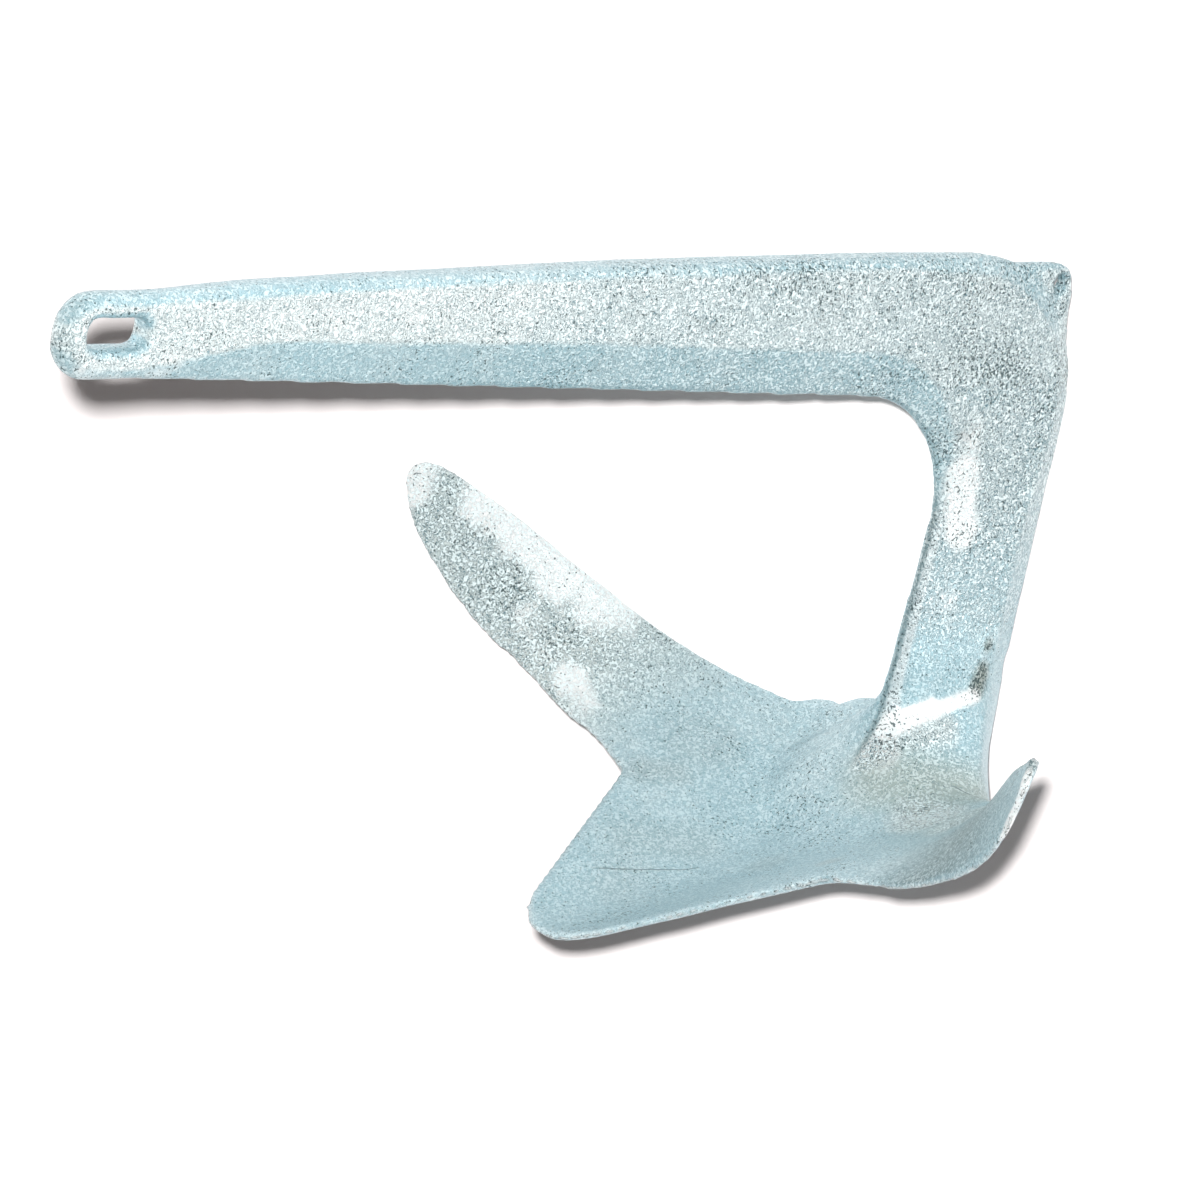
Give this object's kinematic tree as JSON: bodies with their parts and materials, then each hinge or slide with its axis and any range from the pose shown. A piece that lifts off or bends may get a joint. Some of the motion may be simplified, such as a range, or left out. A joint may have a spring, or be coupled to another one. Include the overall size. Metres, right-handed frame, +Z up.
{
  "type": "claw anchor",
  "caption": "One-piece cast claw anchor: a cranked shank with a shackle eye on a dished, three-palmed claw, lying at rest.",
  "frame": {"origin": "on the floor, at the centre of the anchor's bounding box seen from above", "axes": "+Z up as the anchor lies at rest, +Y along the back of the arm toward the shank, and the shank rises toward -X"},
  "size_m": [0.4176, 0.2988, 0.3989],
  "materials": {
    "galvanised_casting": "hot-dip galvanised over rough cast steel"
  },
  "bodies": {
    "root": {"anchor": "galvanised_casting"}
  },
  "joints": []
}
